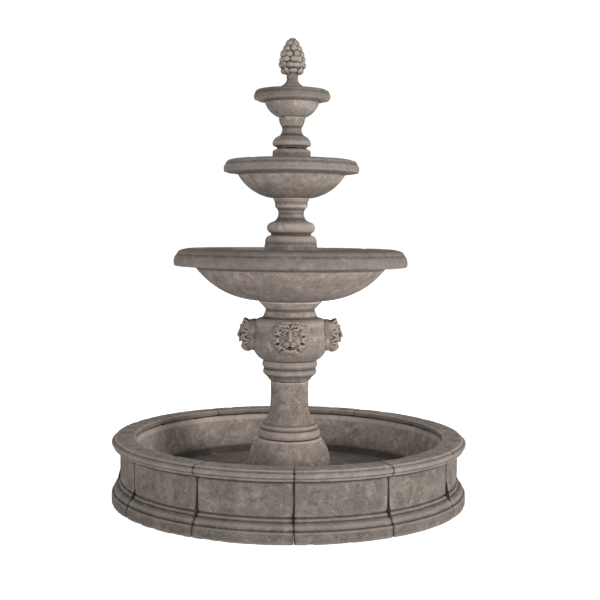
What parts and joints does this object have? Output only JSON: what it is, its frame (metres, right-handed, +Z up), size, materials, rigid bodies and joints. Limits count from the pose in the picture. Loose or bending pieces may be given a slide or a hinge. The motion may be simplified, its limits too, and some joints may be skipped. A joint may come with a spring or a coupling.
{
  "type": "tiered water fountain",
  "caption": "Cast-stone garden fountain: tiers of round bowls on a lion urn and column in a round pool, with a pine-cone finial and a pump inside.",
  "frame": {"origin": "on the ground at the centre of the pool", "axes": "+Z up along the column, -Y towards the front, +X to the right"},
  "size_m": [1.8272, 1.8272, 2.368],
  "materials": {
    "cast_stone": "matte",
    "basin_stone": "matte",
    "copper": "satin",
    "brass": "satin",
    "steel": "satin",
    "ceramic": "gloss",
    "rubber": "matte",
    "vinyl_hose": "satin",
    "pump_plastic": "matte",
    "rotor_plastic": "satin",
    "lever_plastic": "gloss"
  },
  "bodies": {
    "fountain": {"pool_floor": "basin_stone", "basin_wall": "basin_stone", "pool_wall_stone_01": "cast_stone", "pool_wall_stone_02": "cast_stone", "pool_wall_stone_03": "cast_stone", "pool_wall_stone_04": "cast_stone", "pool_wall_stone_05": "cast_stone", "pool_wall_stone_06": "cast_stone", "pool_wall_stone_07": "cast_stone", "pool_wall_stone_08": "cast_stone", "pool_wall_stone_09": "cast_stone", "pool_wall_stone_10": "cast_stone", "pool_wall_stone_11": "cast_stone", "pool_wall_stone_12": "cast_stone", "drain_fitting": "brass", "plinth": "cast_stone", "column": "cast_stone", "capital": "cast_stone", "lion_urn": "cast_stone", "large_bowl": "cast_stone", "lower_spool": "cast_stone", "medium_bowl": "cast_stone", "riser_block": "cast_stone", "upper_spool": "cast_stone", "small_bowl": "cast_stone", "lion_mask_front": "cast_stone", "spout_tube_front": "copper", "lion_mask_right": "cast_stone", "spout_tube_right": "copper", "lion_mask_back": "cast_stone", "spout_tube_back": "copper", "lion_mask_left": "cast_stone", "spout_tube_left": "copper", "spout_manifold": "brass", "lower_riser_pipe": "copper", "upper_riser_pipe": "copper", "stopper_large_bowl": "rubber", "stopper_medium_bowl": "rubber", "stopper_small_bowl": "rubber", "pump_housing": "pump_plastic", "pump_shaft": "ceramic", "impeller_cover": "pump_plastic", "strainer_cage": "pump_plastic", "outlet_adaptor": "pump_plastic", "cord_gland": "rubber", "suction_foot_1": "rubber", "suction_foot_2": "rubber", "suction_foot_3": "rubber", "suction_foot_4": "rubber", "pump_hose": "vinyl_hose", "hose_clamp_lower": "steel", "hose_clamp_upper": "steel", "valve_body": "brass"},
    "rotor": {"pump_rotor": "rotor_plastic"},
    "valve": {"valve_ball": "steel", "valve_lever": "lever_plastic"},
    "dial": {"flow_dial": "rotor_plastic"},
    "plug": {"drain_plug": "rubber"},
    "finial": {"pine_cone_finial": "cast_stone"}
  },
  "joints": [
    {"name": "impeller_spin", "type": "hinge", "parent": "fountain", "child": "rotor", "pos_m": [0, 0, 0.15], "axis": [1, 0, 0], "continuous": true},
    {"name": "valve_turn", "type": "hinge", "parent": "fountain", "child": "valve", "pos_m": [0, -0.0315, 0.258], "axis": [0, 1, 0], "range_deg": [0, 90]},
    {"name": "dial_turn", "type": "hinge", "parent": "fountain", "child": "dial", "pos_m": [0.046, 0, 0.19], "axis": [0, 0, 1], "range_deg": [0, 180]},
    {"name": "plug_pull", "type": "slide", "parent": "fountain", "child": "plug", "axis": [0, 0, 1], "range_m": [0, 0.08]},
    {"name": "finial_lift", "type": "slide", "parent": "fountain", "child": "finial", "axis": [0, 0, 1], "range_m": [0, 0.16]}
  ]
}
